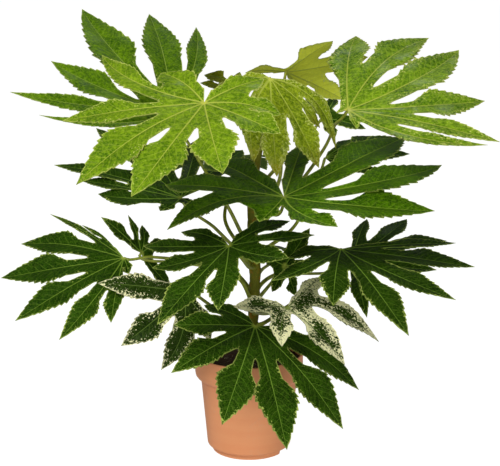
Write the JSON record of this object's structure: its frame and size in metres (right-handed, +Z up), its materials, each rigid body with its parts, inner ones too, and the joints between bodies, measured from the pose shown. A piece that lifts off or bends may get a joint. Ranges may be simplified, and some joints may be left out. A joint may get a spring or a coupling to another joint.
{
  "type": "potted foliage plant",
  "caption": "Upright potted foliage plant: large hand-shaped, toothed leaves on long stalks round one stem, in a tapered grow pot.",
  "frame": {"origin": "centre of the pot's underside, on the surface that the pot stands on", "axes": "+Z up along the pot's axis, +X to the viewer's right and -Y towards the viewer in the source view"},
  "size_m": [0.7272, 0.6074, 0.6811],
  "materials": {
    "pot_plastic": "smooth satin terracotta-coloured plastic",
    "potting_soil": null,
    "stem_bark": "smooth olive-brown young bark",
    "leaf_bright": "glossy bright yellow-green young leaf",
    "leaf_green": "glossy dark green leaf",
    "leaf_mottled": "dark green leaf mottled with cream towards its margins"
  },
  "bodies": {
    "root": {"pot": "pot_plastic", "soil": "potting_soil", "stem": "stem_bark", "leaf_crown_front_left": "leaf_bright", "leaf_crown_front": "leaf_bright", "leaf_crown_back_left": "leaf_green", "leaf_crown_right": "leaf_bright", "leaf_crown_back": "leaf_bright", "leaf_mid_front_right": "leaf_green", "leaf_mid_back_left": "leaf_green", "leaf_mid_front": "leaf_green", "leaf_mid_left": "leaf_green", "leaf_mid_right": "leaf_green", "leaf_low_front": "leaf_green", "leaf_low_right": "leaf_mottled", "leaf_low_left": "leaf_mottled", "leaf_back_left": "leaf_green", "leaf_back_right": "leaf_green", "leaf_centre_right": "leaf_green", "leaf_upper_back_right": "leaf_green", "leaf_top_back_right": "leaf_green", "leaf_top_back": "leaf_green", "leaf_rear_high": "leaf_green", "leaf_rear_low": "leaf_green"}
  },
  "joints": []
}
